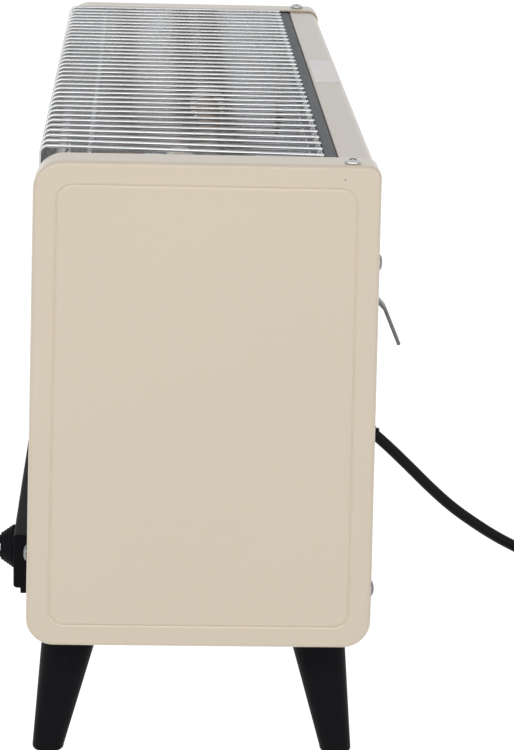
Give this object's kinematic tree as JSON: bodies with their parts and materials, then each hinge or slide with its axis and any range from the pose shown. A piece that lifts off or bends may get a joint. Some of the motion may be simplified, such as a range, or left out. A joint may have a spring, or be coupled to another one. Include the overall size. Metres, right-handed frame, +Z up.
{
  "type": "electric bar heater",
  "caption": "Beige sheet-steel radiant heater on four splayed legs, wire grille over front and top, ceramic bars before a curved reflector, rotary knob, mains lead.",
  "frame": {"origin": "on the floor, midway between the end panels and midway between the knob's tip and the hooks' tips", "axes": "+X along the cabinet towards the end with the knob, -Y towards the front with the grille, +Z up"},
  "size_m": [0.542, 0.4332, 0.3322],
  "materials": {
    "beige_enamel": "smooth semi-gloss enamel",
    "grey_steel": "satin grey",
    "galvanised_steel": "dull zinc coat",
    "zinc_strip": "rolled zinc-plated strip",
    "bright_steel": "bright plated",
    "chrome_wire": "bright chrome",
    "polished_aluminium": "polished",
    "ceramic": "unglazed white",
    "heating_wire": "oxidised resistance wire",
    "brass": "plain",
    "black_plastic": "moulded, glossy",
    "pale_plastic": "moulded",
    "lead_sheath": "heat-proof sleeve",
    "cord_rubber": "smooth black",
    "pale_label": "plain blank sticker"
  },
  "bodies": {
    "root": {"right_end_panel": "beige_enamel", "left_end_panel": "beige_enamel", "rear_shell": "beige_enamel", "front_sill": "beige_enamel", "bottom_plate": "galvanised_steel", "grille_channel": "grey_steel", "reflector": "polished_aluminium", "right_end_plate": "polished_aluminium", "left_end_plate": "polished_aluminium", "grille_wires": "chrome_wire", "grille_rails": "chrome_wire", "grille_clips": "bright_steel", "upper_element_rod": "ceramic", "middle_element_rod": "ceramic", "lower_element_rod": "ceramic", "upper_element_winding": "heating_wire", "middle_element_winding": "heating_wire", "lower_element_winding": "heating_wire", "element_insulators": "ceramic", "element_studs": "brass", "element_nuts": "brass", "element_rings": "ceramic", "element_ring_arms": "bright_steel", "neutral_bar": "brass", "control_strip": "black_plastic", "strip_screws": "bright_steel", "rotary_switch": "pale_plastic", "switch_nut": "bright_steel", "switch_tabs": "brass", "thermal_cutout": "galvanised_steel", "terminal_block": "ceramic", "terminal_screws": "brass", "earth_screw": "brass", "tip_switch_frame": "galvanised_steel", "tip_switch_pin": "bright_steel", "tip_microswitch": "black_plastic", "internal_leads": "lead_sheath", "front_right_leg": "black_plastic", "front_left_leg": "black_plastic", "rear_right_leg": "black_plastic", "rear_left_leg": "black_plastic", "leg_screws": "bright_steel", "end_panel_screws": "bright_steel", "bottom_plate_screws": "bright_steel", "right_hook": "zinc_strip", "left_hook": "zinc_strip", "hook_screws": "bright_steel", "blank_label": "pale_label", "strain_relief": "cord_rubber", "cord_run": "cord_rubber", "cord_coil": "cord_rubber", "cord_tail": "cord_rubber", "cord_tie": "cord_rubber", "plug_body": "cord_rubber", "plug_pins": "bright_steel"},
    "knob": {"control_knob": "black_plastic", "switch_spindle": "bright_steel"},
    "pendulum": {"tip_switch_pendulum": "brass"}
  },
  "joints": [
    {"name": "knob_turn", "type": "hinge", "parent": "root", "child": "knob", "pos_m": [0.228, -0.09, 0.11], "axis": [0, 1, 0], "range_deg": [0, 270]},
    {"name": "tip_swing", "type": "hinge", "parent": "root", "child": "pendulum", "pos_m": [-0.045, 0, 0.1036], "axis": [1, 0, 0], "range_deg": [-25, 25]}
  ]
}
